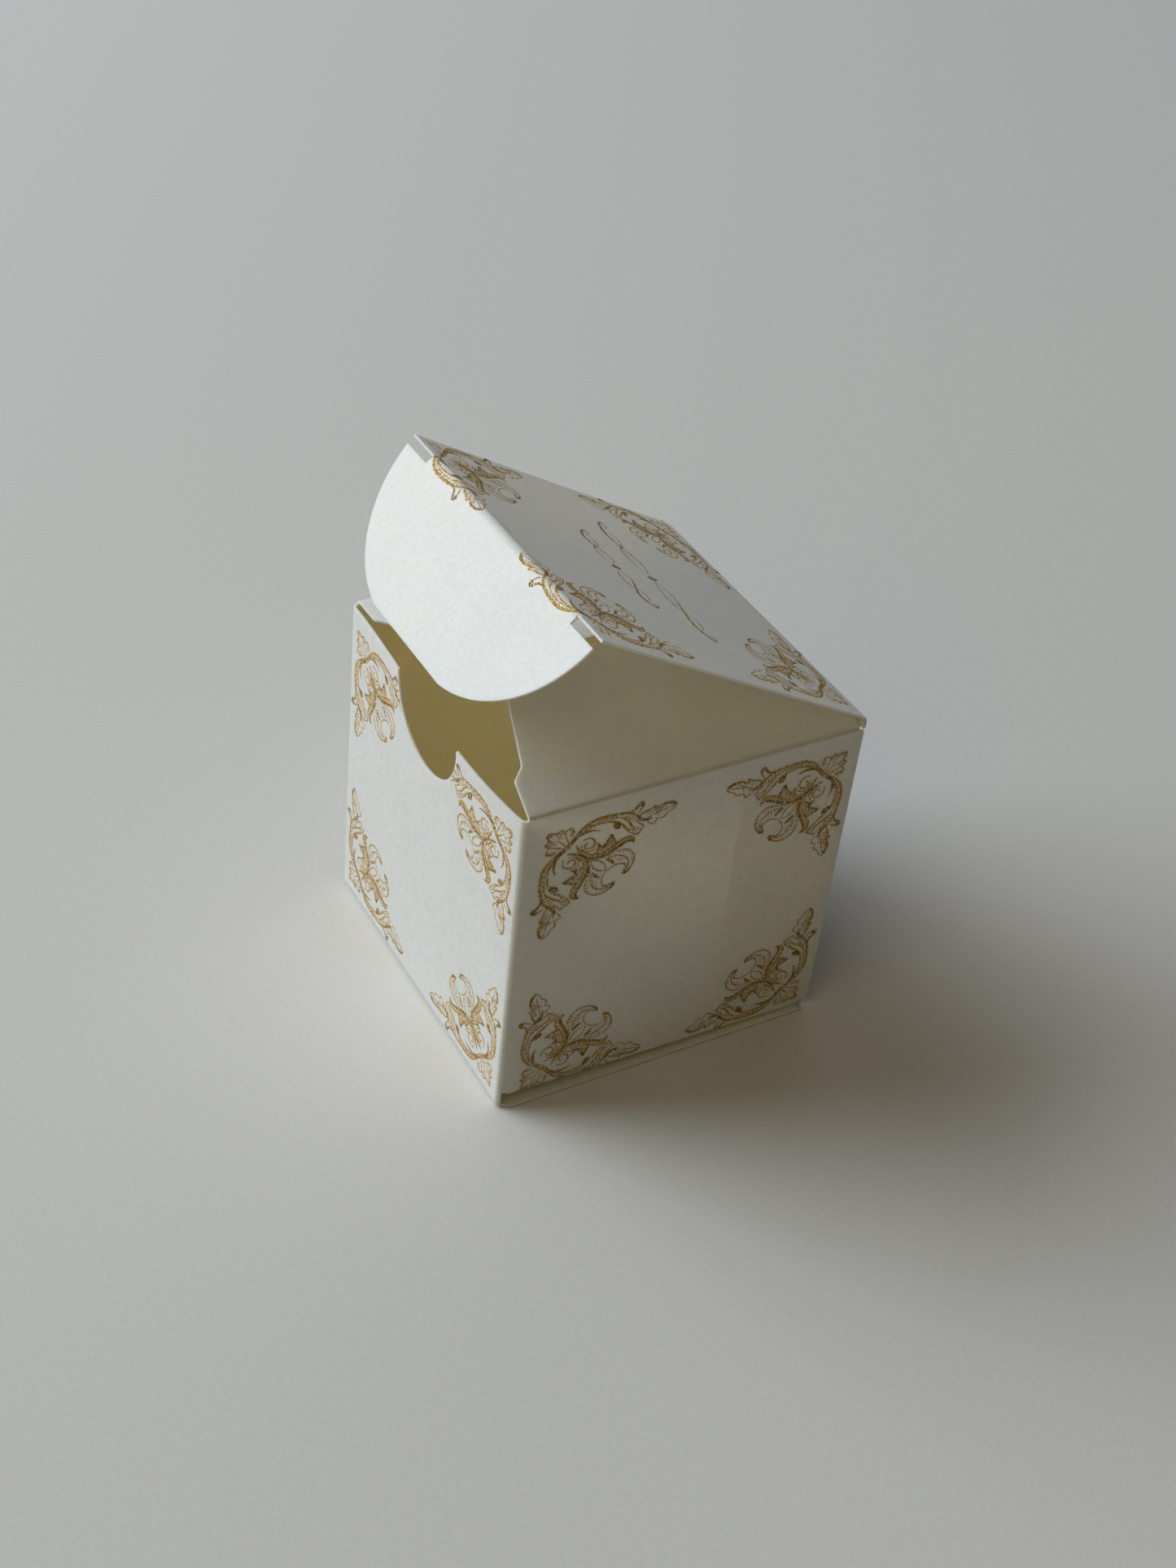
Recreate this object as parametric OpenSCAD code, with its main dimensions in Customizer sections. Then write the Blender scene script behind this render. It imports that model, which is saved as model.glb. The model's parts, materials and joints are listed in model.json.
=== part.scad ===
// Tuck-top favour box of creased card, standing with its lid ajar.
// Origin at the middle of the base on the table, front wall towards -Y, +Z up, millimetres.

/* [Box] */
// Outside width, left to right
box_w = 50; // [44:1:70]
// Outside depth, front to back
box_d = 50; // [46:1:70]
// Height of the side walls' upper creases
box_h = 50; // [40:1:80]
// Radius of the thumb notch in the front wall's top edge
notch_r = 9.3; // [6:0.1:12]
// Drop of the front wall's top edge below the side creases
front_drop = 0.4; // [0.2:0.1:1.5]
// Lift of the side walls' lower creases off the table at the front
side_lift_front = 1.9; // [1.2:0.1:2.5]
// Lift of the side walls' lower creases off the table at the back
side_lift_back = 0.6; // [0.6:0.1:1.2]
// Width of the glue tab behind the right wall's back edge
tab_w = 18; // [10:1:20]
// Slope of the glue tab's upper and lower ends, in degrees
tab_slope = 12; // [5:1:20]

/* [Card] */
// Thickness of the card
card = 0.35; // [0.25:0.05:0.4]
// Outside radius of a folded edge
fold_r = 0.7; // [0.6:0.05:0.9]
// Gap at a crease that swings
crease_gap = 0.1; // [0.05:0.05:0.15]
// Room between pieces that lie on or pass each other
clearance = 0.25; // [0.2:0.05:0.35]

/* [Dust flaps] */
// Length of a dust flap from its crease
dust_len = 19; // [14:1:20]
// Rise of the right upper dust flap above the level, in degrees
dust_rise_right = 33; // [10:1:36]
// Rise of the left upper dust flap above the level, in degrees
dust_rise_left = 1; // [0:1:36]
// Distance of an upper dust flap's front edge from the box's front face
dust_inset = 0.75; // [0.7:0.05:1.5]
// Length of the lock shoulder at the root of a dust flap
shoulder_len = 4.7; // [3:0.1:6]
// Step in from the lock shoulder to the tapered edge
shoulder_step = 1.6; // [1:0.1:3]
// Radius of the curves in the lock shoulder
shoulder_r = 1; // [0.5:0.1:1.2]
// Taper of the edge beyond the shoulder, in degrees
dust_taper = 9.5; // [5:0.5:15]
// Distance of an upper dust flap's heel from the box's back face, at the crease
dust_heel = 0.9; // [0.8:0.1:2]
// Distance of a lower dust flap's heel from the box's front face, at the crease
lower_heel = 1.6; // [1.2:0.1:3]
// Radius of the corners at a dust flap's free edge
dust_corner_r = 3; // [1.5:0.5:4]

/* [Lid] */
// Height of the lid's crease above the side creases
lid_lift = 1.5; // [1:0.1:2.5]
// Length of the lid from its crease to the tuck flap's crease
lid_len = 47.5; // [42:0.5:48]
// Angle of the lid above the level as it stands ajar, in degrees
lid_ajar = 28.4; // [24:0.1:60]

/* [Tuck flaps] */
// Depth of a tuck flap from its crease to its free edge
tuck_depth = 18.3; // [14:0.1:20]
// Turn of the lid's tuck flap from the flat, in degrees
tuck_turn = 76.4; // [60:0.1:90]
// Narrowing of the lid's tuck flap on each side of the box
tuck_inset = 0.2; // [0.1:0.1:1]
// Radius of the rounded ends of a tuck flap
tuck_end_r = 18.5; // [17:0.1:20]
// Length of the slit lock at each end of a tuck flap's crease
slit_len = 5.5; // [3:0.5:8]
// Width of the slit lock
slit_w = 1.3; // [0.8:0.1:2]

/* [Bottom flap] */
// Stand of the bottom panel's edges proud of the side walls
bottom_proud = 0.6; // [0:0.1:1]
// Radius of the bottom panel's corners beside its crease
bottom_corner_r = 2; // [1:0.5:4]

/* [Hidden] */
$fn = 64;
arc_steps = 6;
fold_lap = 0.3;
crease_reach = fold_r + fold_lap;
card_colour = "ivory";

// Creases that swing: height of the lid's, and the place of the bottom panel's
lid_axis_y = box_d / 2 - card / 2;
lid_axis_z = box_h + lid_lift;
bottom_axis_y = -box_d / 2 + card / 2;
bottom_axis_z = card / 2;

// Walls: middle of the upper creases' bends, cut edges, and the slope of the side walls' lower creases
crease_z = box_h - fold_r / 2;
front_top = box_h - front_drop;
front_low = card + crease_gap;
back_top = lid_axis_z - card / 2 - crease_gap;
lift_slope = atan((side_lift_back - side_lift_front) / box_d);
tab_low = side_lift_back + fold_r + clearance;
tab_high = box_h - fold_r - clearance;
ear_low = crease_z + clearance;

// The bottom panel folds up inside the back wall, and its tuck leans in as a chord of the swing
bottom_reach = box_d / 2 - card - clearance - bottom_axis_y;
swing_spare = 0.5;
bottom_lean = asin(tuck_depth / (2 * bottom_reach)) + swing_spare;
bottom_tuck_w = box_w - 4 * card - 4 * clearance;

// The upper dust flaps are cut along the line where the lid lies on the higher one
higher_rise = max(dust_rise_left, dust_rise_right);
dust_root_z = crease_z + fold_r * cos(higher_rise);
dust_tip_z = dust_root_z + dust_len * sin(higher_rise);
lid_under_z = lid_axis_z - card / 2 / cos(lid_ajar);
lid_meets_y = lid_axis_y - (dust_tip_z + clearance - lid_under_z) / tan(lid_ajar);
upper_tip = min(box_d - dust_heel - dust_corner_r, lid_meets_y + box_d / 2);
lid_heel_z = lid_under_z + (lid_axis_y - box_d / 2 + dust_heel) * tan(lid_ajar);
upper_heel_run = (lid_heel_z - clearance - dust_root_z) / sin(higher_rise);
lower_tip = box_d - lower_heel - dust_len;
lower_inset = 2 * card + 2 * clearance + fold_r;

function unit(v) = v / norm(v);

// Points of the arc that rounds corner b between a and c, or the corner itself
function rounded(a, b, c, r) =
    r == 0 ? [b] :
    let (
        u = unit(a - b),
        v = unit(c - b),
        half = acos(u * v) / 2,
        middle = b + unit(u + v) * r / sin(half),
        from = b + u * r / tan(half) - middle,
        turn = (180 - 2 * half) * sign(u.x * v.y - u.y * v.x)
    )
    [for (i = [0:arc_steps])
        let (t = -turn * i / arc_steps)
        middle + [from.x * cos(t) - from.y * sin(t), from.x * sin(t) + from.y * cos(t)]];

// Flat outline through corners [x, y, radius]
module outline(corners) {
    n = len(corners);
    function at(i) = [corners[(i + n) % n].x, corners[(i + n) % n].y];
    polygon([for (i = [0:n - 1]) each rounded(at(i - 1), at(i), at(i + 1), corners[i].z)]);
}

// Card standing across the box: outline in x and z, outer face at y = 0, card behind it
module card_facing_front() {
    translate([0, card, 0])
        rotate([90, 0, 0])
            linear_extrude(card)
                children();
}

// Card standing along the box: outline in y and z, outer face at x = 0, card inside it
module card_facing_right() {
    translate([-card, 0, 0])
        rotate([90, 0, 90])
            linear_extrude(card)
                children();
}

// Vertical fold about z through the given angle, starting from +x
module upright_fold(turn, low, high) {
    translate([0, 0, low])
        rotate_extrude(angle = turn)
            translate([fold_r - card, 0])
                square([card, high - low]);
}

// Section of card that turns through a bend about the origin: lap below the bend, run beyond it
module bent_section(turn, run) {
    inside = fold_r - card;
    along = [-sin(turn), cos(turn)];
    outer = [for (i = [0:arc_steps]) let (t = turn * i / arc_steps) [cos(t), sin(t)]];
    inner = [for (i = [arc_steps:-1:0]) outer[i] * inside];
    polygon([
        [fold_r, -fold_lap],
        each outer * fold_r,
        outer[arc_steps] * fold_r + along * run,
        inner[0] + along * run,
        each inner,
        [inside, -fold_lap]
    ]);
}

// Flap that bends from a wall below, crease along y from 0 to length, cut to an outline in y and run
module bent_flap(turn, run, length) {
    intersection() {
        translate([0, length, 0])
            rotate([90, 0, 0])
                linear_extrude(length)
                    bent_section(turn, run);
        rotate([0, -turn, 0])
            translate([-fold_r, 0, 0])
                rotate([90, 0, 90])
                    linear_extrude(3 * fold_r)
                        children();
    }
}

// Dust flap cut with a lock shoulder at y = inset, and a heel that runs straight and then slopes to y = tip
module dust_outline(inset, tip, heel, heel_run) {
    step_y = inset + shoulder_step;
    step_len = shoulder_len + shoulder_step;
    heel_y = box_d - heel;
    outline([
        [inset, -crease_reach, 0],
        [inset, shoulder_len, shoulder_r],
        [step_y, step_len, shoulder_r],
        [step_y + (dust_len - step_len) * tan(dust_taper), dust_len, dust_corner_r],
        [tip, dust_len, dust_corner_r],
        [heel_y, heel_run, 0],
        [heel_y, -crease_reach, 0]
    ]);
}

// Dust flap with its crease about the origin, on a wall to the right of it
module dust_flap(rise, inset, tip, heel, heel_run) {
    bent_flap(90 - rise, dust_len, box_d)
        dust_outline(inset, tip, heel, heel_run);
}

// Side wall on the right, from the bend at the front to y = back, with both of its dust flaps
module side_wall(rise, back) {
    function low(y) = side_lift_front + fold_r + (y + box_d / 2) * tan(lift_slope);
    front = -box_d / 2 + fold_r;
    edge = fold_lap / 2;
    translate([box_w / 2, 0, 0])
        card_facing_right()
            polygon([
                [front, low(front) + edge],
                [back, low(back) + edge],
                [back, crease_z - edge],
                [front, crease_z - edge]
            ]);
    translate([box_w / 2 - fold_r, -box_d / 2, crease_z])
        dust_flap(rise, dust_inset, upper_tip, dust_heel, upper_heel_run);
    translate([box_w / 2 - fold_r, -box_d / 2, side_lift_front + fold_r])
        rotate([lift_slope, 0, 0])
            translate([0, box_d, 0])
                rotate([180, 0, 0])
                    dust_flap(0, lower_inset, lower_tip, lower_heel, 0);
}

// Front wall between its bends, with the thumb notch
module front_wall() {
    half = box_w / 2 - fold_r;
    translate([0, -box_d / 2, 0])
        card_facing_front()
            difference() {
                translate([-half, front_low])
                    square([2 * half, front_top - front_low]);
                translate([0, front_top])
                    circle(notch_r);
            }
}

// Back wall, standing on its lower cut edge, and the glue tab that it folds into.
// Above the right wall's cut end it runs on to the corner.
module back_wall_and_tab() {
    left = -box_w / 2 + fold_r;
    right = box_w / 2 - card - fold_r;
    root = box_d / 2 - fold_r;
    rise = (tab_w - fold_r) * tan(tab_slope);
    translate([0, box_d / 2 - card, 0])
        card_facing_front()
            polygon([
                [left, 0],
                [right, 0],
                [right, ear_low],
                [box_w / 2, ear_low],
                [box_w / 2, back_top],
                [left, back_top]
            ]);
    translate([right, root, 0])
        upright_fold(90, tab_low, tab_high);
    translate([box_w / 2 - card, 0, 0])
        card_facing_right()
            polygon([
                [root, tab_low],
                [root, tab_high],
                [box_d / 2 - tab_w, tab_high - rise],
                [box_d / 2 - tab_w, tab_low + rise]
            ]);
}

// Tuck flap cut with its crease along x at y = 0, its free edge towards -y and its root past the crease
module tuck_outline(width, past) {
    root = width / 2 - slit_len;
    translate([-root, -slit_w - card])
        square([2 * root, slit_w + card + past]);
    intersection() {
        translate([-width / 2, -tuck_depth])
            square([width, tuck_depth - slit_w]);
        union() {
            for (side = [-1, 1])
                translate([side * (width / 2 - tuck_end_r), 0])
                    circle(tuck_end_r);
            translate([-(width / 2 - tuck_end_r), -tuck_depth])
                square([width - 2 * tuck_end_r, tuck_depth]);
        }
    }
}

// Rounded edge of card along x, about the crease it swings on
module crease_edge(length) {
    translate([-length / 2, 0, 0])
        rotate([0, 90, 0])
            cylinder(d = card, h = length);
}

// Four walls, glue tab and dust flaps: one folded and glued sheet
module carton() {
    left_low = side_lift_back + fold_r;
    color(card_colour) {
        front_wall();
        back_wall_and_tab();
        side_wall(dust_rise_right, box_d / 2 - crease_gap);
        mirror([1, 0, 0])
            side_wall(dust_rise_left, box_d / 2 - fold_r);
        translate([box_w / 2 - fold_r, -box_d / 2 + fold_r, 0])
            rotate([0, 0, -90])
                upright_fold(90, front_low, crease_z);
        translate([-box_w / 2 + fold_r, -box_d / 2 + fold_r, 0])
            rotate([0, 0, 180])
                upright_fold(90, front_low, crease_z);
        translate([-box_w / 2 + fold_r, box_d / 2 - fold_r, 0])
            rotate([0, 0, 90])
                upright_fold(90, left_low, crease_z);
    }
}

// Lies flat from its crease at the origin towards -y; the ends of its front edge are the slits' upper lips
module lid_flat() {
    lip = box_w / 2 - tuck_inset - slit_len;
    front = lid_len - card / 2 - crease_gap;
    crease_edge(box_w);
    translate([0, 0, -card / 2])
        linear_extrude(card) {
            translate([-box_w / 2, -front])
                square([box_w, front]);
            for (side = [0, 1])
                mirror([side, 0])
                    translate([lip, -lid_len])
                        square([slit_len + tuck_inset, lid_len - front]);
        }
}

module at_lid_crease() {
    translate([0, lid_axis_y, lid_axis_z])
        rotate([-lid_ajar, 0, 0])
            children();
}

// Top panel, creased to the back wall
module lid() {
    color(card_colour)
        at_lid_crease()
            lid_flat();
}

// Flap on the lid's front edge that tucks behind the front wall
module tuck_flap() {
    width = box_w - 2 * tuck_inset;
    color(card_colour)
        at_lid_crease()
            translate([0, -lid_len, 0])
                rotate([tuck_turn, 0, 0]) {
                    crease_edge(width - 2 * slit_len - 2 * crease_gap);
                    translate([0, 0, -card / 2])
                        linear_extrude(card)
                            tuck_outline(width, 0);
                }
}

// Bottom panel, creased to the front wall, with its tuck standing inside the back wall
module bottom_flap() {
    half = box_w / 2 + bottom_proud;
    bend_y = bottom_axis_y + bottom_reach - fold_r;
    color(card_colour) {
        translate([0, bottom_axis_y, bottom_axis_z])
            crease_edge(box_w - 2 * fold_r);
        linear_extrude(card)
            outline([
                [-box_w / 2 + fold_r, bottom_axis_y, 0],
                [box_w / 2 - fold_r, bottom_axis_y, 0],
                [half, bottom_axis_y + bottom_corner_r, bottom_corner_r],
                [half, bend_y - fold_lap / 2, 0],
                [-half, bend_y - fold_lap / 2, 0],
                [-half, bottom_axis_y + bottom_corner_r, bottom_corner_r]
            ]);
        translate([half, bend_y, fold_r])
            rotate([0, 90, 90])
                bent_flap(90 + bottom_lean, tuck_depth, 2 * half)
                    translate([half, 0])
                        mirror([0, 1])
                            tuck_outline(bottom_tuck_w, crease_reach);
    }
}

carton();
lid();
tuck_flap();
bottom_flap();
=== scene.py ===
"""Favour box of pearl card with gold scroll corners, standing with its lid ajar."""

import json
import math

import bmesh
import bpy
from mathutils import Matrix, Vector
from mathutils.bvhtree import BVHTree


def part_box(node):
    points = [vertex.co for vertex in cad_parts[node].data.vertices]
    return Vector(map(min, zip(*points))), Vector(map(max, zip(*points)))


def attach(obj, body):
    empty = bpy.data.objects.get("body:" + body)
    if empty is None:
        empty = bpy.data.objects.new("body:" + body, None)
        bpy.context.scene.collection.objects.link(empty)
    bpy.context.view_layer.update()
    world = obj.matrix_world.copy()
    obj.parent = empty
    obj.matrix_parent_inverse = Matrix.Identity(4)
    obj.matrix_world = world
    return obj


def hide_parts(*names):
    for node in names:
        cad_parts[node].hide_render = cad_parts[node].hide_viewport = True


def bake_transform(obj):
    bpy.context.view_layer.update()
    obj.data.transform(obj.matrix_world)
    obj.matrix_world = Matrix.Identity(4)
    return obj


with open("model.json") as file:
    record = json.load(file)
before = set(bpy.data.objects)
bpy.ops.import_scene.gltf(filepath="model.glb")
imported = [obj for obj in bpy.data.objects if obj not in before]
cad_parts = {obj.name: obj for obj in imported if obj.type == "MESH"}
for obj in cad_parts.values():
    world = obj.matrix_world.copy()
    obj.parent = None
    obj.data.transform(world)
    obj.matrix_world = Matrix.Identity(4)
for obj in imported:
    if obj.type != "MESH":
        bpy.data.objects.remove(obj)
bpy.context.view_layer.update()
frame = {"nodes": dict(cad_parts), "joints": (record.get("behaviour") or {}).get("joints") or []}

# Camera: held in the hand at the box's front right corner, looking down on the lid,
# with a 50 mm lens on a full-frame sensor and a slight roll.
MM = 0.001
EYE = Vector((197.2, -129.1, 214.7)) * MM
LOOK_ROUND = math.radians(56.83)
LOOK_DOWN = math.radians(38.14)
ROLL = math.radians(6.86)
LENS = 49.92
SENSOR = 36

look = Vector((
    -math.sin(LOOK_ROUND) * math.cos(LOOK_DOWN),
    math.cos(LOOK_ROUND) * math.cos(LOOK_DOWN),
    -math.sin(LOOK_DOWN),
))
camera = bpy.data.objects.new("camera", bpy.data.cameras.new("camera"))
camera.data.lens = LENS
camera.data.sensor_width = SENSOR
camera.data.clip_start = 10 * MM
turn = look.to_track_quat("-Z", "Y").to_matrix().to_4x4() @ Matrix.Rotation(ROLL, 4, "Z")
camera.matrix_world = Matrix.Translation(EYE) @ turn
bpy.context.scene.collection.objects.link(camera)
bpy.context.scene.camera = camera


# Carton: front, right, back and left walls with their dust flaps, one sheet of pearl card
# of about 300 g/m2, creased, folded round and glued inside the right wall's back corner.
CARD = 0.35 * MM
FOLD = 0.7 * MM
EDGE_DEPTH = 2.6 * CARD
WELD = MM / 1000
PITCH = 2 * MM
PITCH_SHIFT = 0.37
SHARP_FROM = math.radians(40)
CLOUD_SIZE = 9 * MM
TOOTH_SIZE = 0.75 * MM
FIBRE_SIZE = 0.28 * MM
TOOTH_DEPTH = 0.05 * MM
PEARL = (0.91, 0.895, 0.855, 1)
PEARL_DIM = (0.785, 0.775, 0.735, 1)
CREAM = (0.945, 0.845, 0.695, 1)
CREAM_DIM = (0.88, 0.775, 0.62, 1)
CUT_WHITE = (0.88, 0.87, 0.83, 1)
GLOW = (1, 0.84, 0.58)
GLOW_DEPTH = 0.85 * MM
# Painted shade: a dark line along the side walls' top creases, for the shade in their scored groove
SCORE_SHADE = (0.5, 0.47, 0.4, 1)
SCORE_SHADE_BAND = (0.05 * MM, 0.4 * MM)
# Painted light: the dust flaps' lighter, yellower tint stands in for the warm light they get under the
# lid
FLAP_PAINTED_LIGHT = (0.985, 0.96, 0.875, 1)
FLAP_PAINTED_LIGHT_DIM = (0.90, 0.875, 0.79, 1)
FRONT_LEAN = 1.05 * MM
FRONT_TWIST = 0.045
FRONT_CURVE = 2.5
WALL_SWELL = 0.3 * MM
DRAWN_SHARE = 0.95

carton_low, carton_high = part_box("carton")
HALF_W = carton_high.x
FRONT_Y = carton_low.y
BACK_Y = carton_high.y
WALL_TOP = 49.6 * MM
CREASE_REACH = 0.7 * MM
X, Y, Z = (Vector(axis) for axis in ((1, 0, 0), (0, 1, 0), (0, 0, 1)))
hinges = {joint["name"]: Vector(joint["pos_m"]) for joint in frame["joints"]}
LID_FOOT = hinges["lid_hinge"]
BOTTOM_FOOT = hinges["bottom_hinge"]
SCORE_Z = WALL_TOP + FOLD / 2
MIDDLE = Vector((0, 0, WALL_TOP / 2))


class Value:
    """A value in a material's nodes. Arithmetic on it adds Math nodes."""

    def __init__(self, tree, socket=None):
        self.tree = tree
        self.socket = socket

    def node(self, kind, settings, inputs, out=0):
        """Adds a node: its settings first, then the values or links of its sockets."""
        made = self.tree.nodes.new(kind)
        for name, setting in settings.items():
            setattr(made, name, setting)
        for key, given in inputs.items():
            if isinstance(given, Value):
                self.tree.links.new(given.socket, made.inputs[key])
            else:
                made.inputs[key].default_value = given
        return Value(self.tree, made.outputs[out])

    def maths(self, operation, *values):
        return self.node("ShaderNodeMath", {"operation": operation}, dict(enumerate(values)))

    def __add__(self, other):
        return self.maths("ADD", self, other)

    def __sub__(self, other):
        return self.maths("SUBTRACT", self, other)

    def __rsub__(self, other):
        return self.maths("SUBTRACT", other, self)

    def __mul__(self, other):
        return self.maths("MULTIPLY", self, other)

    __radd__ = __add__
    __rmul__ = __mul__

    def between(self, low, high):
        """0 below low, 1 above high, smooth between them."""
        return self.node(
            "ShaderNodeMapRange",
            {"interpolation_type": "SMOOTHSTEP"},
            {"Value": self, "From Min": low, "From Max": high},
        )

    def mixed(self, first, second):
        """The first colour where this is 0 and the second where it is 1."""
        return self.node("ShaderNodeMix", {"data_type": "RGBA"}, {0: self, 6: first, 7: second}, out=2)


def new_material(name, **sockets):
    """A material with its constant sockets set: returns it, a Value to build on and its shader."""
    material = bpy.data.materials.new(name)
    material.use_nodes = True
    shader = material.node_tree.nodes["Principled BSDF"]
    for socket, constant in sockets.items():
        shader.inputs[socket.replace("_", " ")].default_value = constant
    return material, Value(material.node_tree), shader


def noise_at(value, size, detail):
    """Noise with features of about this size, fixed to the piece."""
    place = value.node("ShaderNodeTexCoord", {}, {}, out=3)
    return value.node("ShaderNodeTexNoise", {}, {"Vector": place, "Scale": 1 / size, "Detail": detail})


def card_face(name, colour, dim, felt, shine, flap=None):
    """Felt-marked card: faint clouds in its colour, a fine soft tooth and a little pearl shine.
    With flap colours, what stands above the side walls is painted lighter and yellower, as painted light
    for the warm glow on the dust flaps under the lid, and a painted shade line darkens their scored
    creases."""
    material, value, shader = new_material(
        name,
        Specular_IOR_Level=0.5,
        Coat_Roughness=0.38,
        Subsurface_Weight=1,
        Subsurface_Radius=GLOW,
        Subsurface_Scale=GLOW_DEPTH,
    )
    clouds = noise_at(value, CLOUD_SIZE, detail=3).between(0.3, 0.7)
    tooth = noise_at(value, TOOTH_SIZE, detail=2)
    fibre = noise_at(value, FIBRE_SIZE, detail=3)
    felting = clouds * 0.2 + tooth.between(0.35, 0.65) * 0.4 + fibre.between(0.3, 0.7) * 0.4
    tone = felting.mixed(dim, colour)
    if flap:
        place = value.node("ShaderNodeTexCoord", {}, {}, out=3)
        across = value.maths("ABSOLUTE", value.node("ShaderNodeSeparateXYZ", {}, {0: place}, out=0))
        above = value.node("ShaderNodeSeparateXYZ", {}, {0: place}, out=2) - SCORE_Z
        # Painted shade along the scored crease at the top of each side wall, broken by the fibres
        off = value.maths("ABSOLUTE", above).between(*SCORE_SHADE_BAND)
        outside = across.between(HALF_W - FOLD - CARD, HALF_W - FOLD)
        score_shade = (1 - off) * outside * (0.3 + 0.7 * fibre)
        # Painted light: what stands above the walls' top creases takes the dust flaps' lighter, yellower
        # tint
        tone = above.between(0, FOLD).mixed(tone, felting.mixed(*flap))
        tone = score_shade.mixed(tone, SCORE_SHADE)
    bump = value.node(
        "ShaderNodeBump",
        {},
        {"Strength": felt, "Distance": TOOTH_DEPTH, "Height": tooth * 0.7 + fibre * 0.3},
    )
    rough = 0.5 + 0.16 * tooth
    pearl = shine * (0.6 + 0.8 * fibre)
    value.tree.links.new(tone.socket, shader.inputs["Base Color"])
    value.tree.links.new(rough.socket, shader.inputs["Roughness"])
    value.tree.links.new(pearl.socket, shader.inputs["Coat Weight"])
    value.tree.links.new(bump.socket, shader.inputs["Normal"])
    return material


pearl_face = card_face("pearl_face", PEARL, PEARL_DIM, felt=0.5, shine=0.12)
# Pearl card with painted light on its dust flaps and painted shade along its side walls' top creases
pearl_lit_flaps_shaded_scores = card_face("pearl_lit_flaps_shaded_scores", PEARL, PEARL_DIM, felt=0.5, shine=0.12, flap=(FLAP_PAINTED_LIGHT_DIM, FLAP_PAINTED_LIGHT))
cream_back = card_face("cream_back", CREAM, CREAM_DIM, felt=0.4, shine=0.04)
cut_edge = card_face("cut_edge", CUT_WHITE, PEARL_DIM, felt=0.7, shine=0.0)


def skin(sheet):
    """Pearl on the side that faces away from the box's middle, cream on the other, and white on cut
    edges, where the card is deeper than two glued sheets."""
    across = BVHTree.FromBMesh(sheet)
    for face in sheet.faces:
        centre = face.calc_center_median()
        start = centre - face.normal * CARD / 100
        depth = across.ray_cast(start, -face.normal)[3]
        if depth is None or depth > EDGE_DEPTH:
            face.material_index = 2
        else:
            face.material_index = 0 if face.normal.dot(centre - MIDDLE) > 0 else 1
        face.smooth = True


def finished(name, sheet, materials):
    """Mesh object from a bmesh, smooth over gentle bends and sharp at cut edges."""
    mesh = bpy.data.meshes.new(name)
    sheet.to_mesh(mesh)
    sheet.free()
    mesh.set_sharp_from_angle(angle=SHARP_FROM)
    for material in materials:
        mesh.materials.append(material)
    piece = bpy.data.objects.new(name, mesh)
    bpy.context.scene.collection.objects.link(piece)
    return piece


def card_piece(name, node, directions, ease, bends=(), faces=(pearl_face, cream_back, cut_edge)):
    """A sheet with the CAD node's form, cut fine along the given directions and where it bends, and
    eased out of true."""
    source = frame["nodes"][node].data
    plain = bpy.data.meshes.new(name)
    plain.from_pydata([v.co for v in source.vertices], [], [p.vertices for p in source.polygons])
    sheet = bmesh.new()
    sheet.from_mesh(plain)
    bpy.data.meshes.remove(plain)
    bmesh.ops.remove_doubles(sheet, verts=sheet.verts, dist=WELD)
    cuts = list(bends)
    for direction in directions:
        reach = [v.co.dot(direction) for v in sheet.verts]
        steps = range(math.ceil(min(reach) / PITCH), math.ceil(max(reach) / PITCH))
        cuts += [(direction * (step + PITCH_SHIFT) * PITCH, direction) for step in steps]
    for place, direction in cuts:
        bmesh.ops.bisect_plane(
            sheet,
            geom=[*sheet.verts, *sheet.edges, *sheet.faces],
            dist=WELD,
            plane_co=place,
            plane_no=direction,
        )
    sheet.normal_update()
    skin(sheet)
    for vert in sheet.verts:
        vert.co += ease(vert.co)
    piece = finished(name, sheet, faces)
    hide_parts(node)
    return piece


def front_bow(x, z):
    """How far the front wall stands out, most beside the notch on its free top edge."""
    lean = (FRONT_LEAN + FRONT_TWIST * x) * (1 - (x / HALF_W) ** 2)
    return lean * max(z / WALL_TOP, 0) ** FRONT_CURVE


def wall_swell(across, z):
    """How far a wall between two folds swells, none at its edges."""
    height = min(max(z / WALL_TOP, 0), 1)
    return WALL_SWELL * (1 - (across / HALF_W) ** 2) * math.sin(math.pi * height)


def drawn_back(place, foot, run, reach, half, most=CARD):
    """How a panel's end is drawn back out of a crease, to where the root of its flap takes over."""
    past = (place - foot).dot(run)
    if -reach < past < most and abs(place.x) < half + CARD / 5:
        return -run * DRAWN_SHARE * (past + reach)
    return Vector()


def wall_ease(place):
    """Where the walls of a folded and handled carton stand out of true, and end at their creases."""
    out = Vector()
    if place.y > BACK_Y - 2 * CARD:
        out += drawn_back(place, LID_FOOT, Z, CREASE_REACH, HALF_W)
    if place.y < FRONT_Y + 2 * CARD:
        out += drawn_back(place, BOTTOM_FOOT, -Z, CREASE_REACH, HALF_W - FOLD)
    if place.z < WALL_TOP + FOLD:
        if place.y < FRONT_Y + 2 * CARD:
            out.y -= front_bow(place.x, place.z)
        if place.y > BACK_Y - 2 * CARD:
            out.y += wall_swell(place.x, place.z)
        if abs(place.x) > HALF_W - 3 * CARD:
            out.x += math.copysign(wall_swell(place.y, place.z), place.x)
    return out


carton = card_piece(
    "carton_card",
    "carton",
    (X, Y, Z),
    wall_ease,
    faces=(pearl_lit_flaps_shaded_scores, cream_back, cut_edge),
)
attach(carton, "carton")


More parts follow.
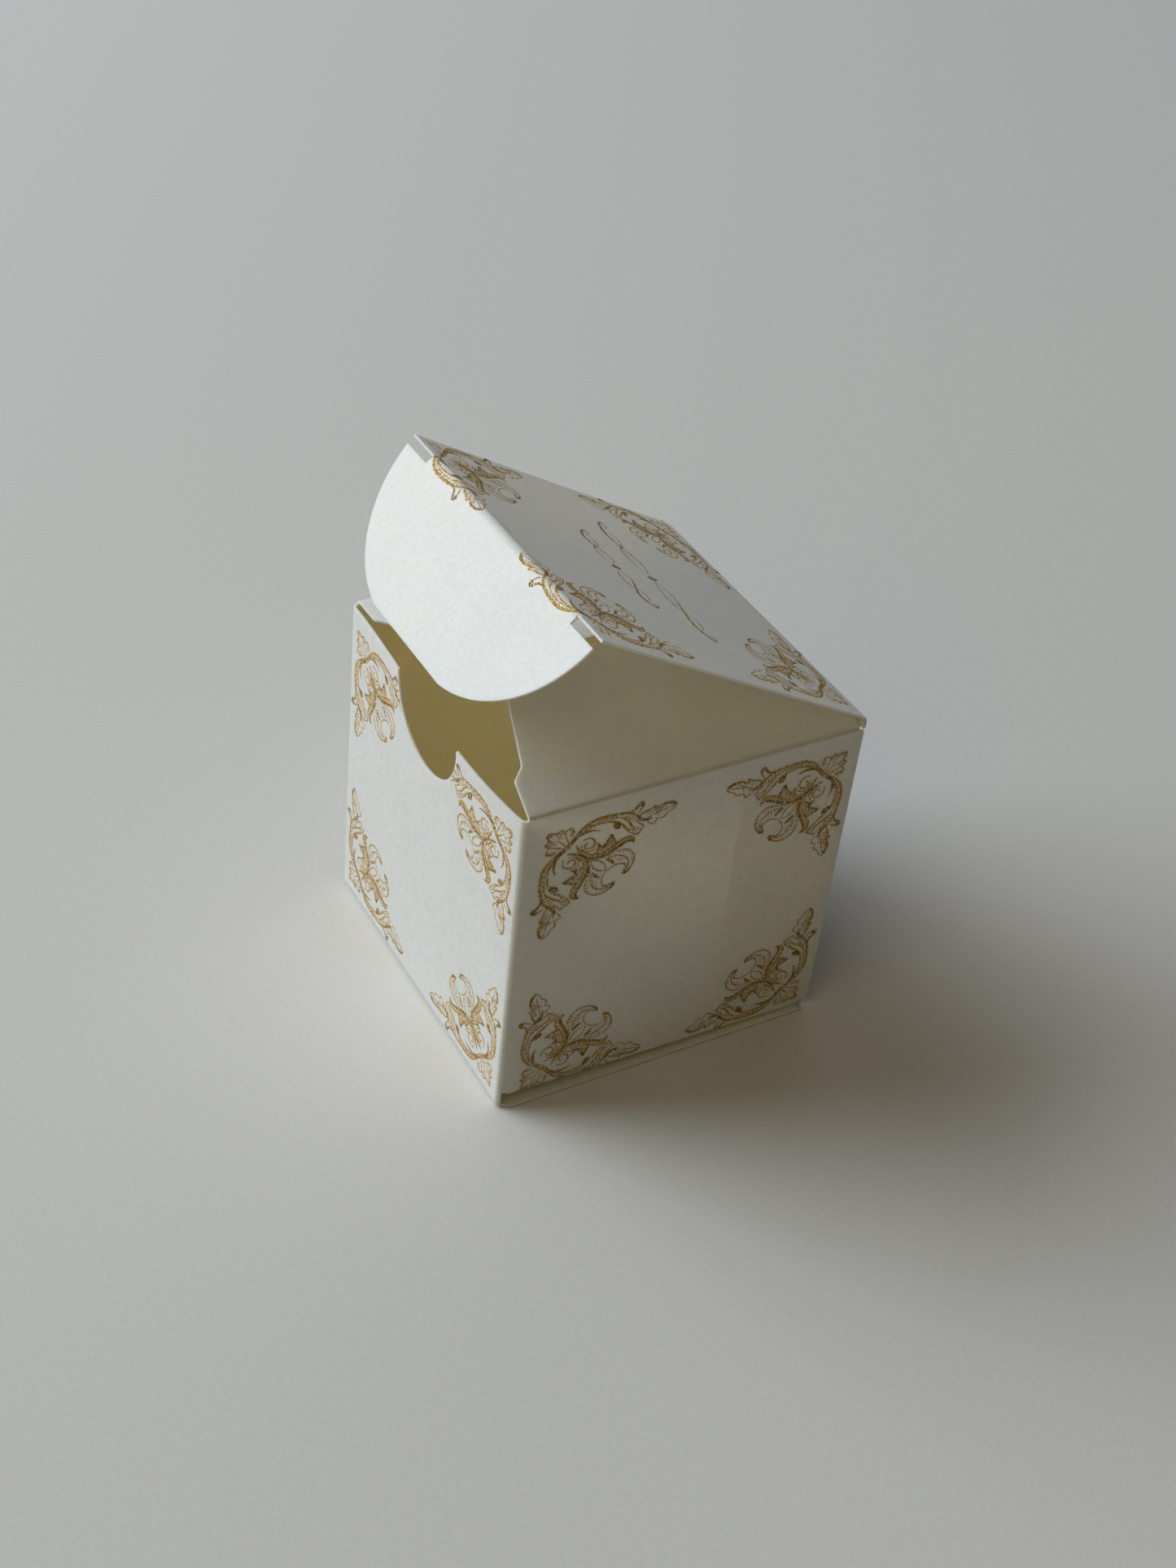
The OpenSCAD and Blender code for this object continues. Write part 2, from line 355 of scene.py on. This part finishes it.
# Print: gold scrollwork in the corners of each panel, screened on the flat sheet in three inks
# before it was cut. Each corner is a leaf, two C-scrolls from a knot, and acanthus lobes between them.
GOLD = (0.43, 0.24, 0.02, 1)
GOLD_PALE = (0.54, 0.34, 0.055, 1)
BROWN = (0.245, 0.125, 0.008, 1)
BROWN_PALE = (0.36, 0.2, 0.02, 1)
AMBER = (0.62, 0.42, 0.16, 1)
AMBER_PALE = (0.72, 0.57, 0.33, 1)
INK_LIFT = {"amber": 0.02, "gold": 0.035, "brown": 0.05}
INK_CLOUD = 1.6 * MM
INK_GRAIN = 0.25 * MM
INK_GAPS = 0.65
INK_SPREAD = 1.08
EDGE_SHAKE = 0.03
STROKE_STEPS = 5
FILL_STEPS = 12
HATCH_WIDTHS = (0.12, 0.14, 0.05)
HATCH_SLANT = 0.06
PANEL_W = 2 * HALF_W / MM
PANEL_H = 50

# Lines of one arm of a corner, in mm from the frame's corner: ink, widths at start, middle and end,
# and points
ARM = {
    "scroll_out": ("gold", (0.22, 0.42, 0.26), [
        (3, 3.1), (3.6, 2.1), (4.5, 1), (5.5, 0.2), (6.9, -0.25), (8.8, -0.25), (10.6, 0),
        (11.7, 0.4), (12.4, 1), (13, 1.8),
    ]),
    "scroll_mid": ("gold", (0.1, 0.17, 0.1), [
        (4.2, 2), (5.1, 1), (6.4, 0.42), (8, 0.2), (9.6, 0.38), (10.9, 0.8), (12, 1.7),
    ]),
    "scroll_in": ("gold", (0.15, 0.28, 0.15), [
        (4.9, 1.5), (5.9, 0.85), (7.3, 0.6), (8.8, 0.8), (9.7, 1.2), (10.5, 1.9),
        (11.3, 2.8), (12.2, 3.2),
    ]),
    "curl": ("brown", (0.5, 0.4, 0.1), [
        (3.6, 2.6), (4.05, 1.95), (4.8, 1.5), (5.8, 1.35), (6.7, 1.5), (7.3, 1.75),
    ]),
    "nick": ("brown", (0.3, 0.9, 0.2), [(9.2, 1), (9.7, 1.75), (10.1, 2.3)]),
    "blade": ("gold", (0.15, 0.3, 0.12), [(10.1, 0.5), (11.1, 1.4), (12, 2.7), (12.8, 3.1)]),
    "bract": ("gold", (0.12, 0.22, 0.12), [
        (10.5, 2.2), (11.3, 3.1), (12.2, 3.9), (12.8, 4.1), (13.2, 3.5), (13.5, 2.9),
        (12.8, 2.3), (12.2, 1.4),
    ]),
    "hook": ("brown", (0.2, 0.42, 0.5), [
        (11, 0.1), (11.9, -0.1), (12.35, -0.6), (12.7, -1), (13.05, -0.75), (12.9, -0.35),
    ]),
    "hook_back": ("gold", (0.25, 0.25, 0.15), [(13.1, -0.6), (12.85, 0.1), (12.5, 0.6)]),
    "leaf_stem": ("brown", (0.25, 0.55, 0.15), [(12.3, 0.8), (12.9, 1.6), (13.6, 2.05), (14.6, 2)]),
    "leaf_top": ("gold", (0.25, 0.25, 0.15), [(12.8, 1.1), (13.4, 0.7), (14.2, 0.5), (14.9, 0)]),
    "leaf_step": ("gold", (0.25, 0.3, 0.3), [(14.9, 0.05), (15.05, 0.55), (15.7, 0.3), (16.4, 0.1)]),
    "leaf_tip": ("brown", (0.2, 0.42, 0.12), [(16.1, 0.15), (17, 0.25), (17.6, 0.5), (18.05, 0.85)]),
    "leaf_low": ("gold", (0.12, 0.22, 0.15), [(13.6, 2.1), (14.5, 2.9), (15.05, 3), (15.3, 2.3)]),
    "leaf_low_step": ("gold", (0.15, 0.2, 0.15), [(15.3, 2.3), (16.3, 2.4), (16.7, 1.75)]),
    "leaf_low_tip": ("gold", (0.15, 0.2, 0.15), [(16.7, 1.75), (17.4, 1.5), (18.05, 0.85)]),
    "leaf_rib": ("gold", (0.1, 0.18, 0.1), [(13.6, 1.9), (14.8, 1.5), (16.1, 1.2), (17.7, 0.85)]),
    "volute": ("gold", (0.2, 0.3, 0.18), [
        (5.1, 2.6), (6.1, 2.6), (6.7, 3.2), (6.7, 4), (6.1, 4.35), (5.5, 4.05), (5.45, 3.45),
        (5.95, 3.25),
    ]),
    "volute_under": ("gold", (0.12, 0.2, 0.1), [
        (4.9, 3.2), (5.2, 4.3), (6.1, 4.85), (7, 4.5), (7.6, 3.9),
    ]),
    "stem_low": ("brown", (0.2, 0.46, 0.24), [
        (4.2, 3.1), (4.75, 4.5), (5.75, 5.75), (7.2, 6.2), (8.5, 6.1), (9.9, 5.5),
        (11.1, 4.95), (12, 4.9), (12.4, 5.4),
    ]),
    "stem_top": ("gold", (0.12, 0.24, 0.24), [
        (5.15, 4.2), (6, 5.15), (7, 5.55), (8.3, 5.5), (9.7, 4.8), (10.7, 4.2), (11.65, 4.1),
        (12.3, 4.6), (12.4, 5.4),
    ]),
    "sprout_left": ("brown", (0.12, 0.25, 0.3), [
        (6.95, 5.4), (7.5, 4.5), (8.1, 4.5), (8.65, 3.7), (9, 2.85),
    ]),
    "sprout_right": ("brown", (0.12, 0.3, 0.3), [(9.2, 5.2), (9.75, 4.6), (9.5, 4), (9, 2.85)]),
    "spur": ("brown", (0.12, 0.3, 0.2), [(7.1, 3.7), (7.6, 4.4), (8.3, 4.7)]),
    "lobe": ("gold", (0.12, 0.2, 0.22), [
        (7.9, 6.5), (9.3, 6.3), (10.8, 6), (11.8, 6.4), (12.6, 7.4), (12.7, 8.45),
        (12.3, 9.5), (11.2, 10.2),
    ]),
    "lobe_tip": ("brown", (0.15, 0.4, 0.3), [(12.4, 9.2), (12.1, 9.8), (11.6, 10.15), (11.2, 10.2)]),
    "bay": ("gold", (0.16, 0.2, 0.22), [
        (9, 9), (9.5, 8.6), (10.1, 8.35), (10.9, 8.4), (11.45, 8.7), (11.6, 9.3),
        (11.2, 10.2),
    ]),
    "vein": ("gold", (0.12, 0.2, 0.1), [(8.8, 6.7), (10.3, 6.8), (11.5, 7.5), (12, 8.55), (11.9, 9.4)]),
    "fork": ("brown", (0.12, 0.4, 0.3), [(8.6, 6.9), (9.3, 7.3), (9.8, 8)]),
    "drop": ("gold", (0.2, 0.2, 0.15), [(6.4, 6.4), (7.8, 6.95), (8.6, 7.9), (8.8, 8.8)]),
    "leaf3_edge": ("gold", (0.3, 0.25, 0.15), [
        (0.1, 0.1), (0.7, 0.1), (1.35, 0.35), (1.9, -0.1), (2.45, 0.5),
    ]),
    "leaf3_lobe": ("gold", (0.15, 0.22, 0.2), [
        (2.45, 0.5), (2.9, 0.1), (3.45, 0.15), (3.65, 0.6), (3.8, 1),
    ]),
    "leaf3_side": ("gold", (0.12, 0.2, 0.15), [(2.45, 0.55), (2.75, 1.5), (3.1, 2.4)]),
}
# Lines on the corner's diagonal, where the two arms meet
KNOT = {
    "knot": ("gold", (0.3, 0.75, 0.3), [(2.1, 4), (3.05, 3.05), (4, 2.1)]),
    "leaf3_rib": ("gold", (0.05, 0.15, 0.25), [(1.4, 1.4), (2, 2), (2.7, 2.7)]),
}
# Pairs of an arm's lines with amber between them, and pairs with hatched strokes between them
FILLED = (("stem_top", "stem_low"), ("sprout_left", "sprout_right"))
HATCHED = (
    ("scroll_out", "scroll_in", 18),
    ("stem_top", "stem_low", 12),
    ("sprout_left", "sprout_right", 8),
    ("lobe", "vein", 14),
    ("vein", "bay", 12),
    ("bract", "blade", 8),
    ("leaf_top", "leaf_stem", 6),
    ("leaf_step", "leaf_low", 6),
    ("leaf_tip", "leaf_low_tip", 6),
    ("leaf3_edge", "leaf3_rib", 7),
    ("leaf3_lobe", "leaf3_side", 6),
)


def ink(name, colour, pale):
    """Ink that reached the high spots of the felt and missed the low ones."""
    material, value, shader = new_material(name, Specular_IOR_Level=0.08)
    shade = noise_at(value, INK_CLOUD, detail=2).between(0.35, 0.7)
    missed = noise_at(value, INK_GRAIN, detail=2).between(0.5, 0.64)
    tone = (missed * INK_GAPS).mixed(shade.mixed(colour, pale), PEARL)
    rough = 0.6 + 0.25 * missed
    value.tree.links.new(tone.socket, shader.inputs["Base Color"])
    value.tree.links.new(rough.socket, shader.inputs["Roughness"])
    return material


INKS = {
    "amber": ink("amber_ink", AMBER, AMBER_PALE),
    "gold": ink("gold_ink", GOLD, GOLD_PALE),
    "brown": ink("brown_ink", BROWN, BROWN_PALE),
}


def along(points, share):
    """Place at a share of the way along a smooth line through the points."""
    reach = share * (len(points) - 1)
    i = min(int(reach), len(points) - 2)
    t = reach - i
    p0, p1, p2, p3 = (Vector(points[min(max(k, 0), len(points) - 1)]) for k in range(i - 1, i + 3))
    bend = 2 * p0 - 5 * p1 + 4 * p2 - p3
    return p1 + 0.5 * t * (p2 - p0 + t * (bend + t * (3 * (p1 - p2) + p3 - p0)))


def strip(flat, left, right, tone):
    """Lays a strip of faces between two rows of points, at its ink's height."""
    rows = [[flat.verts.new((p.x, p.y, INK_LIFT[tone])) for p in row] for row in (left, right)]
    for i in range(len(left) - 1):
        face = flat.faces.new((rows[0][i], rows[0][i + 1], rows[1][i + 1], rows[1][i]))
        face.material_index = list(INKS).index(tone)


def stroke(flat, tone, widths, points, fit):
    """Draws a tapered stroke with unsteady edges through the points, each placed on the panel by fit."""
    steps = STROKE_STEPS * (len(points) - 1)
    line = [fit(along(points, i / steps)) for i in range(steps + 1)]
    left, right = [], []
    for i, p in enumerate(line):
        run = line[min(i + 1, steps)] - line[max(i - 1, 0)]
        side = Vector((-run.y, run.x)).normalized()
        half = INK_SPREAD * along([(w, 0) for w in widths], i / steps).x / 2
        shake = math.sin(2.4 * i + 7 * points[0][0])
        left.append(p + side * (half + (0.3 * half + EDGE_SHAKE) * shake))
        right.append(p - side * (half - (0.2 * half - EDGE_SHAKE) * shake))
    strip(flat, left, right, tone)


def corner_print(flat, fit):
    """One corner's scrollwork: both arms, the second one the first with its axes exchanged."""
    lines = {name: points for name, (_, _, points) in {**ARM, **KNOT}.items()}
    shares = [i / FILL_STEPS for i in range(FILL_STEPS + 1)]
    for second in (False, True):
        arm = (lambda p: fit(Vector((p.y, p.x)))) if second else fit
        for tone, widths, points in ARM.values():
            stroke(flat, tone, widths, points, arm)
        for pair in FILLED:
            edges = [[arm(along(lines[name], share)) for share in shares] for name in pair]
            strip(flat, *edges, "amber")
        for first, other, hatches in HATCHED:
            for i in range(hatches):
                share = (i + 0.5) / hatches
                reach = 0.45 + 0.25 * math.sin(5 * i)
                foot = along(lines[first], share)
                tip = foot.lerp(along(lines[other], share + HATCH_SLANT), reach)
                stroke(flat, "gold", HATCH_WIDTHS, [foot, tip], arm)
    for tone, widths, points in KNOT.values():
        stroke(flat, tone, widths, points, fit)


def frame_print(left, right, top, bottom, wide, high):
    """Scrollwork in the four corners of a panel laid flat, x to the right and y down, in mm."""
    flat = bmesh.new()
    for x, side in ((left, 1), (right, -1)):
        for y, down in ((top, 1), (bottom, -1)):
            corner_print(flat, lambda p: Vector((x + side * wide * p.x, y + down * high * p.y)))
    return flat


def printed(name, flat, place, shown=lambda p: True, cuts=()):
    """Lays the print on its panel: cuts it across at the given y, drops what falls outside, and place
    gives each point in the frame."""
    for y in cuts:
        geometry = [*flat.verts, *flat.edges, *flat.faces]
        bmesh.ops.bisect_plane(flat, geom=geometry, plane_co=(0, y, 0), plane_no=(0, 1, 0))
    hidden = [face for face in flat.faces if not shown(face.calc_center_median())]
    bmesh.ops.delete(flat, geom=hidden, context="FACES")
    for vert in flat.verts:
        vert.co = place(*vert.co * MM)
    flat.normal_update()
    for face in flat.faces:
        if face.normal.dot(face.calc_center_median() - MIDDLE) < 0:
            face.normal_flip()
    piece = finished(name, flat, INKS.values())
    piece.visible_shadow = False
    return piece


# Where a point of a flat print lies on each wall, lifted off the card by its ink
def on_front(x, y, lift):
    x, z = x - HALF_W, PANEL_H * MM - y
    return Vector((x, FRONT_Y - front_bow(x, z) - lift, z))


def on_back(x, y, lift):
    x, z = HALF_W - x, PANEL_H * MM - y
    return Vector((x, BACK_Y + wall_swell(x, z) + lift, z))


def on_right(x, y, lift):
    y, z = FRONT_Y + x, PANEL_H * MM - y
    return Vector((HALF_W + wall_swell(y, z) + lift, y, z))


def on_left(x, y, lift):
    y, z = BACK_Y - x, PANEL_H * MM - y
    return Vector((-HALF_W - wall_swell(y, z) - lift, y, z))


NOTCH = Vector((PANEL_W / 2, PANEL_H - WALL_TOP / MM))
NOTCH_R = 9.4
CREASE_FRONT = 2.4
CREASE_BACK = 1.1
# A wall's frame: left, right, top and bottom in mm, and how its corners are stretched across and down
STRETCH = (1.03, 0.97)
FRONT_FRAME = (2.1, 48.1, 3.1, 47.5, *STRETCH)
RIGHT_FRAME = (3.45, 47.85, 3.2, 47.7, *STRETCH)
OTHER_FRAME = (2.6, 47.4, 3.1, 47.6, *STRETCH)


def above_crease(p, from_front):
    """Whether a point of a side wall's print stands above the wall's sloping lower crease."""
    return PANEL_H - p.y > CREASE_FRONT + (CREASE_BACK - CREASE_FRONT) * from_front / PANEL_H


front_print = printed(
    "front_print",
    frame_print(*FRONT_FRAME),
    on_front,
    lambda p: (p.xy - NOTCH).length > NOTCH_R,
)
right_print = printed(
    "right_print",
    frame_print(*RIGHT_FRAME),
    on_right,
    lambda p: above_crease(p, p.x),
)
back_print = printed("back_print", frame_print(*OTHER_FRAME), on_back)
left_print = printed(
    "left_print",
    frame_print(*OTHER_FRAME),
    on_left,
    lambda p: above_crease(p, PANEL_H - p.x),
)
for wall_print in (front_print, right_print, back_print, left_print):
    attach(wall_print, "carton")


# Bottom flap: the bottom panel, creased to the front wall's lower edge, with a tuck that stands
# inside the back wall. Same card, unprinted, bent round at its crease.
BENDS = 12
ROOT_DEPTH = 0.99
INNER_W = HALF_W - FOLD


def crease_at(foot, before, after, reach, share):
    """Place and outward direction at a share of the way round a crease."""
    start, end = foot - before * reach, foot + after * reach
    place = start.lerp(foot, share).lerp(foot.lerp(end, share), share)
    run = before.lerp(after, share).normalized()
    return place, run.cross(X)


def bend_lines(foot, after, reach):
    """Where a flap's root is cut across so that it can bend."""
    return [(foot + after * reach * i / BENDS, after) for i in range(BENDS + 1)]


def bent(place, foot, before, after, reach, left, right):
    """How a flap's root is carried round its crease, on to the panel that it hangs from."""
    share = (place - foot).dot(after) / reach
    if share >= 1 or not left - 2 * FOLD < place.x < right + 2 * FOLD:
        return Vector()
    spot, out = crease_at(foot, before, after, reach, max(share, 0))
    spot += before * reach * min(share, 0)
    depth = ROOT_DEPTH * (place - foot).dot(after.cross(X))
    return spot + out * depth + X * min(max(place.x, left), right) - place


def bottom_ease(place):
    return bent(place, BOTTOM_FOOT, -Z, Y, CREASE_REACH, -INNER_W, INNER_W)


bottom = card_piece(
    "bottom_card",
    "bottom_flap",
    (X, Y, Z),
    bottom_ease,
    bend_lines(BOTTOM_FOOT, Y, CREASE_REACH),
)
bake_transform(bottom)


# Lid: the top panel, creased to the back wall's top edge, raised over the dust flaps.
# Same card, printed with a corner frame that runs on past its front crease and two plain flourishes.
TUCK_FOOT = hinges["tuck_hinge"]
LID_LEN = (TUCK_FOOT - LID_FOOT).length
LID_RUN = (TUCK_FOOT - LID_FOOT).normalized()
LID_UP = LID_RUN.cross(X).normalized()
TUCK_REACH = 1.1 * MM
CREASE_HALF = 19.3 * MM
LID_FRAME = (1.4, 47.9, 1.8, 48.3, 1, 1)
FLOURISHES = ((21.6, 15.5), (28.2, 10))


def lid_ease(place):
    back = bent(place, LID_FOOT, Z, LID_RUN, CREASE_REACH, -INNER_W, HALF_W)
    return back + drawn_back(place, TUCK_FOOT, LID_RUN, TUCK_REACH, CREASE_HALF, -CARD / 3)


lid = card_piece(
    "lid_card",
    "lid",
    (X, LID_RUN),
    lid_ease,
    bend_lines(LID_FOOT, LID_RUN, CREASE_REACH),
)
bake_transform(lid)


def on_lid(x, y, lift):
    return LID_FOOT + X * (x - HALF_W) + LID_RUN * y + LID_UP * (CARD / 2 + lift)


# A flourish: an S-curve with a curl at its outer end, in shares of its half length and in mm
FLOURISH = (
    ("brown", (0.1, 0.42, 0.12), [
        (0.06, 0), (0.25, -0.9), (0.5, 0), (0.72, 0.8), (0.9, 0.2), (0.97, -0.7), (0.9, -1),
        (0.86, -0.6),
    ]),
    ("gold", (0.08, 0.3, 0.08), [(0.06, 0.1), (0.2, 0.9), (0.4, 1), (0.52, 0.3), (0.46, -0.1)]),
    ("gold", (0.08, 0.25, 0.06), [(0.5, 0), (0.62, -0.8), (0.76, -0.7), (0.8, -0.1)]),
    ("brown", (0.1, 0.5, 0.1), [(0, -0.9), (0.02, 0), (0, 0.9)]),
)


def lid_print_flat():
    """The lid's whole print: its corner frame and a long and a short flourish across its middle."""
    flat = frame_print(*LID_FRAME)
    for y, half in FLOURISHES:
        for side in (-half, half):
            for tone, widths, points in FLOURISH:
                stroke(flat, tone, widths, points, lambda p: Vector((PANEL_W / 2 + side * p.x, y + p.y)))
    return flat


FOLD_START = (LID_LEN - TUCK_REACH) / MM
FOLD_END = (LID_LEN + TUCK_REACH) / MM
SIDE_ROOM = 0.1
lid_print = printed(
    "lid_print",
    lid_print_flat(),
    on_lid,
    lambda p: p.y < FOLD_START and SIDE_ROOM < p.x < PANEL_W - SIDE_ROOM,
    [FOLD_START],
)
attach(lid_print, "lid")


# Tuck flap: creased to the lid's front edge, with round ends and a slit lock at each end of its crease.
# Same card, carrying the edge of the lid's print.
TUCK_TURN = math.radians(76.4)
TUCK_RUN = Matrix.Rotation(TUCK_TURN, 3, "X") @ LID_RUN
TUCK_UP = Matrix.Rotation(TUCK_TURN, 3, "X") @ LID_UP


def tuck_ease(place):
    if abs(place.x) > CREASE_HALF + CARD / 5:
        return Vector()
    return bent(place, TUCK_FOOT, LID_RUN, TUCK_RUN, TUCK_REACH, -CREASE_HALF, CREASE_HALF)


tuck = card_piece(
    "tuck_card",
    "tuck_flap",
    (X, TUCK_RUN),
    tuck_ease,
    bend_lines(TUCK_FOOT, TUCK_RUN, TUCK_REACH),
)
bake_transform(tuck)


def on_tuck(x, y, lift):
    return TUCK_FOOT + X * (x - HALF_W) + TUCK_RUN * (y - LID_LEN) + TUCK_UP * (CARD / 2 + lift)


def on_crease_root(p):
    return abs(p.x - PANEL_W / 2) < CREASE_HALF / MM


tuck_print = printed(
    "tuck_print",
    frame_print(*LID_FRAME),
    on_tuck,
    lambda p: p.y > FOLD_END and on_crease_root(p),
    [FOLD_END],
)
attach(tuck_print, "tuck_flap")


def on_tuck_crease(x, y, lift):
    share = (y - FOLD_START * MM) / (2 * TUCK_REACH)
    place, out = crease_at(TUCK_FOOT, LID_RUN, TUCK_RUN, TUCK_REACH, share)
    return place + X * (x - HALF_W) + out * (CARD / 2 + lift)


crease_print = printed(
    "crease_print",
    frame_print(*LID_FRAME),
    on_tuck_crease,
    lambda p: FOLD_START < p.y < FOLD_END and on_crease_root(p),
    [FOLD_START + (FOLD_END - FOLD_START) * i / BENDS for i in range(BENDS + 1)],
)
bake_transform(crease_print)


# Table top and light: a plain pale table that the box stands on, a wide soft window to the front left,
# made of three lamps, and two pale walls of the room that throw some of its light back.
TABLE = (0.81, 0.792, 0.767, 1)
TABLE_DIM = (0.70, 0.683, 0.66, 1)
TABLE_BOUNCE = (0.52, 0.485, 0.42, 1)
TABLE_GRAIN = 0.7 * MM
TABLE_HALF = 2
DAYLIGHT = (0.85, 0.932, 1)
WARM_LIGHT = (1, 0.84, 0.5)
WHITE_LIGHT = (1, 0.98, 0.95)
ROOM = (1, 0.99, 0.97, 1)
ROOM_BOUNCE = (1, 0.9, 0.7, 1)
ROOM_LEVEL = 0.01
ROOM_SHOWN = 0.4


def looked_at(value):
    """1 for rays from the camera, off metal or through glass, which show a surface, and 0 for others."""
    kinds = ("Is Camera Ray", "Is Glossy Ray", "Is Transmission Ray")
    camera_ray, glossy, through = (value.node("ShaderNodeLightPath", {}, {}, out=kind) for kind in kinds)
    return value.maths("MINIMUM", camera_ray + glossy + through, 1)


table_mesh = bpy.data.meshes.new("table")
table_mesh.from_pydata(
    [(x * TABLE_HALF, y * TABLE_HALF, 0) for x, y in ((-1, -1), (1, -1), (1, 1), (-1, 1))],
    [],
    [(0, 1, 2, 3)],
)
table = bpy.data.objects.new("table", table_mesh)
bpy.context.scene.collection.objects.link(table)
material, value, shader = new_material("table_top", Roughness=0.75, Specular_IOR_Level=0.3)
grain = noise_at(value, TABLE_GRAIN, detail=3).mixed(TABLE_DIM, TABLE)
tone = looked_at(value).mixed(TABLE_BOUNCE, grain)
value.tree.links.new(tone.socket, shader.inputs["Base Color"])
table_mesh.materials.append(material)


def soft_lamp(name, place, width, height, power, colour):
    """A rectangular lamp that faces the box."""
    lamp = bpy.data.lights.new(name, "AREA")
    lamp.shape = "RECTANGLE"
    lamp.size = width
    lamp.size_y = height
    lamp.energy = power
    lamp.color = colour
    holder = bpy.data.objects.new(name, lamp)
    holder.location = place
    holder.rotation_euler = (MIDDLE - place).to_track_quat("-Z", "Y").to_euler()
    bpy.context.scene.collection.objects.link(holder)


def towards(round_left, up, far):
    """A place seen from the box: degrees round to the left of its front, degrees up, and how far."""
    level = math.cos(math.radians(up))
    turn = math.radians(round_left)
    return far * Vector((-math.sin(turn) * level, -math.cos(turn) * level, math.sin(math.radians(up))))


# Each lamp's place, width and height in metres, power in watts and colour
soft_lamp("window_low", towards(38, 27, 2.2), 1.5, 0.9, 22, DAYLIGHT)
soft_lamp("window_middle", towards(48, 38, 2.2), 1.8, 1.3, 19.7, DAYLIGHT)
soft_lamp("window_high", towards(58, 52, 2.2), 1.5, 0.9, 5, DAYLIGHT)
soft_lamp("warm_wall", towards(-30, 40, 1.3), 0.9, 0.9, 2.5, WARM_LIGHT)
soft_lamp("side_wall", towards(130, 45, 1.3), 0.9, 0.9, 0.95, WHITE_LIGHT)

world = bpy.data.worlds.new("room")
bpy.context.scene.world = world
world.use_nodes = True
value = Value(world.node_tree)
seen = looked_at(value)
tone = seen.mixed(ROOM_BOUNCE, ROOM)
level = ROOM_LEVEL + seen * ROOM_SHOWN
room = world.node_tree.nodes["Background"]
value.tree.links.new(tone.socket, room.inputs["Color"])
value.tree.links.new(level.socket, room.inputs["Strength"])

bpy.context.scene.view_settings.view_transform = "Standard"
